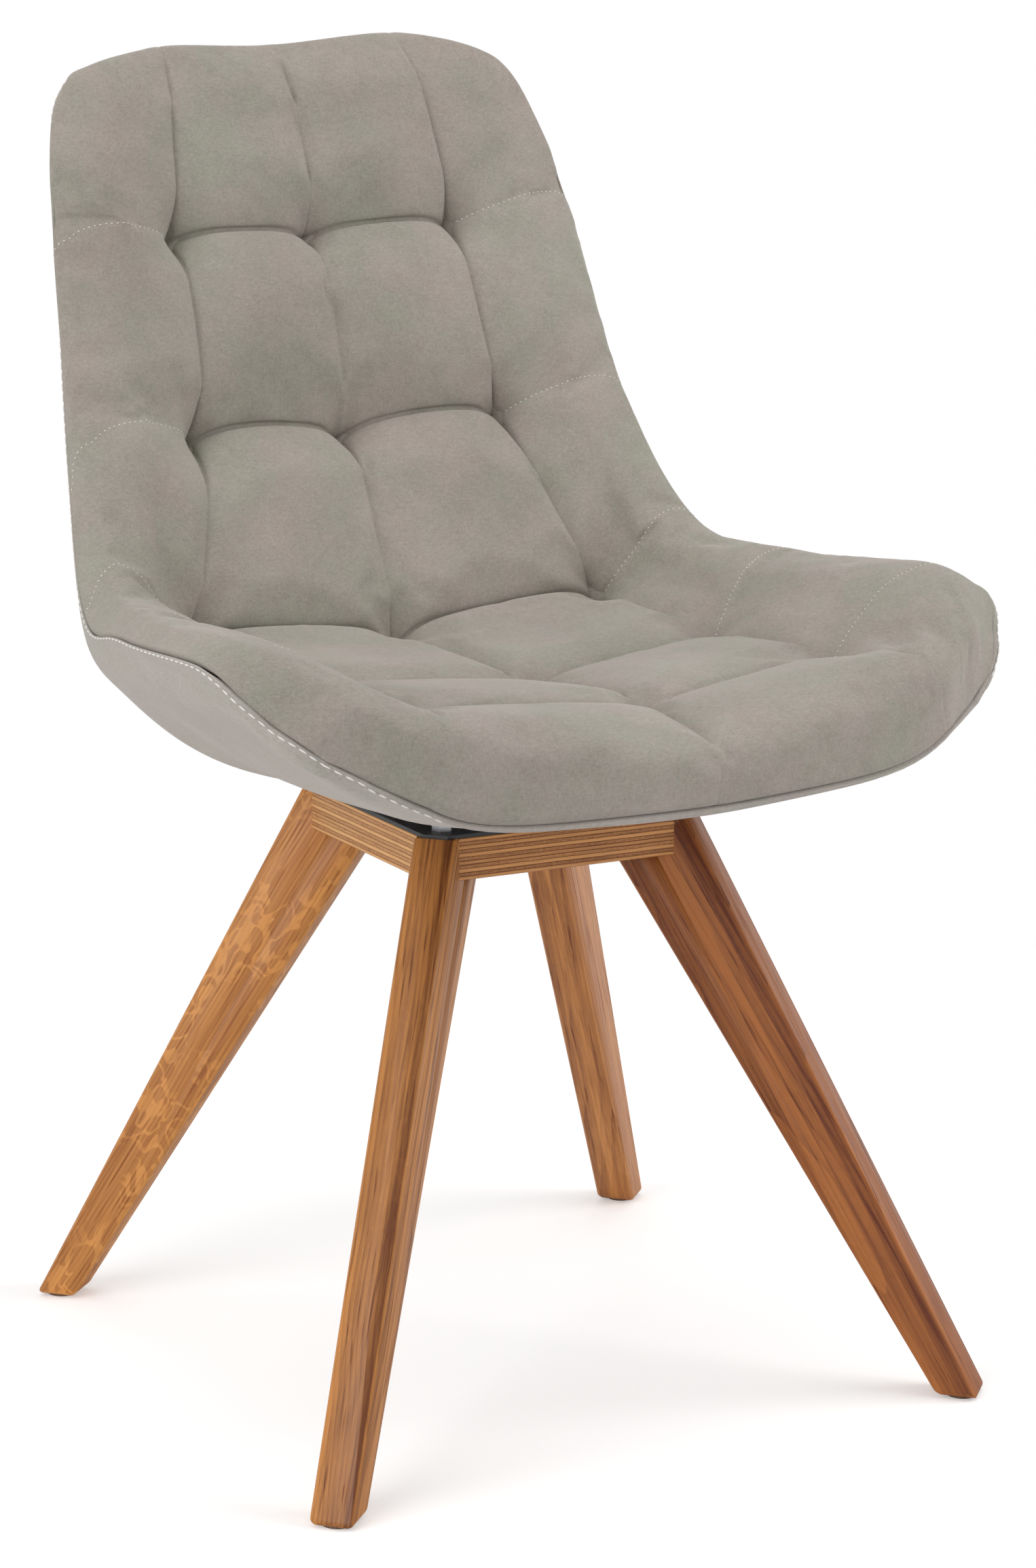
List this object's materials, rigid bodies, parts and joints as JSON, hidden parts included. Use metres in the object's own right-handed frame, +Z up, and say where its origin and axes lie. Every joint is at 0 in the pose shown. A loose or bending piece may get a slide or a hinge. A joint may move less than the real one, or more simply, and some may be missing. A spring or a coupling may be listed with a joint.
{
  "type": "swivel dining chair",
  "caption": "Bucket-seat dining chair with a quilted velvet seat that swivels on a ball race over a plywood frame with raked oak legs.",
  "frame": {"origin": "on the floor, at the middle of the chair's bounding box seen from above; the swivel axis stands 20.0 mm in front of it (towards -Y)", "axes": "+Z up; the seat faces -Y, and -X is the left side seen from the front; the base stands turned 6 degrees clockwise (from above) under the seat"},
  "size_m": [0.6, 0.587, 0.8844],
  "materials": {
    "velvet_front": "taupe velvet, quilted",
    "velvet_rear": "taupe velvet, plain",
    "foam": "cut polyurethane foam",
    "shell_ply": "moulded beech plywood",
    "zinc_steel": "bright zinc plated",
    "black_steel": "black powder coat, satin",
    "race_steel": "oiled steel",
    "ball_steel": "polished",
    "nylon": "natural nylon",
    "glide_nylon": "brown nylon",
    "insert_brass": "machined",
    "rail_ply": "oiled plywood, plies showing",
    "oak": "oiled solid oak",
    "dowel_beech": "fluted beech"
  },
  "bodies": {
    "base": {"lower_race": "race_steel", "pivot_bush": "nylon", "base_plate": "black_steel", "leg_bolts": "zinc_steel", "leg_inserts": "insert_brass", "rail_screws": "zinc_steel", "front_rail": "rail_ply", "rear_rail": "rail_ply", "left_rail": "rail_ply", "right_rail": "rail_ply", "leg_front_left": "oak", "leg_front_right": "oak", "leg_rear_left": "oak", "leg_rear_right": "oak", "rail_dowels": "dowel_beech", "foot_glides": "glide_nylon"},
    "cage": {"ball_cage": "nylon", "bearing_balls": "ball_steel"},
    "seat": {"quilted_cover": "velvet_front", "seat_foam": "foam", "seat_shell": "shell_ply", "rear_cover": "velvet_rear", "tee_nuts": "zinc_steel", "seat_plate": "black_steel", "seat_bolts": "zinc_steel", "bolt_washers": "zinc_steel", "upper_race": "race_steel", "pivot_stud": "zinc_steel", "pivot_washer": "zinc_steel", "pivot_nut": "zinc_steel"}
  },
  "joints": [
    {"name": "seat_swivel", "type": "hinge", "parent": "base", "child": "seat", "pos_m": [0, -0.02001, 0.4], "axis": [0, 0, 1], "continuous": true},
    {"name": "cage_roll", "type": "hinge", "parent": "base", "child": "cage", "pos_m": [0, -0.02001, 0.4], "axis": [0, 0, 1], "continuous": true}
  ],
  "couplings": [
    {"joint": "cage_roll", "follows": "seat_swivel", "ratio": 0.5}
  ]
}
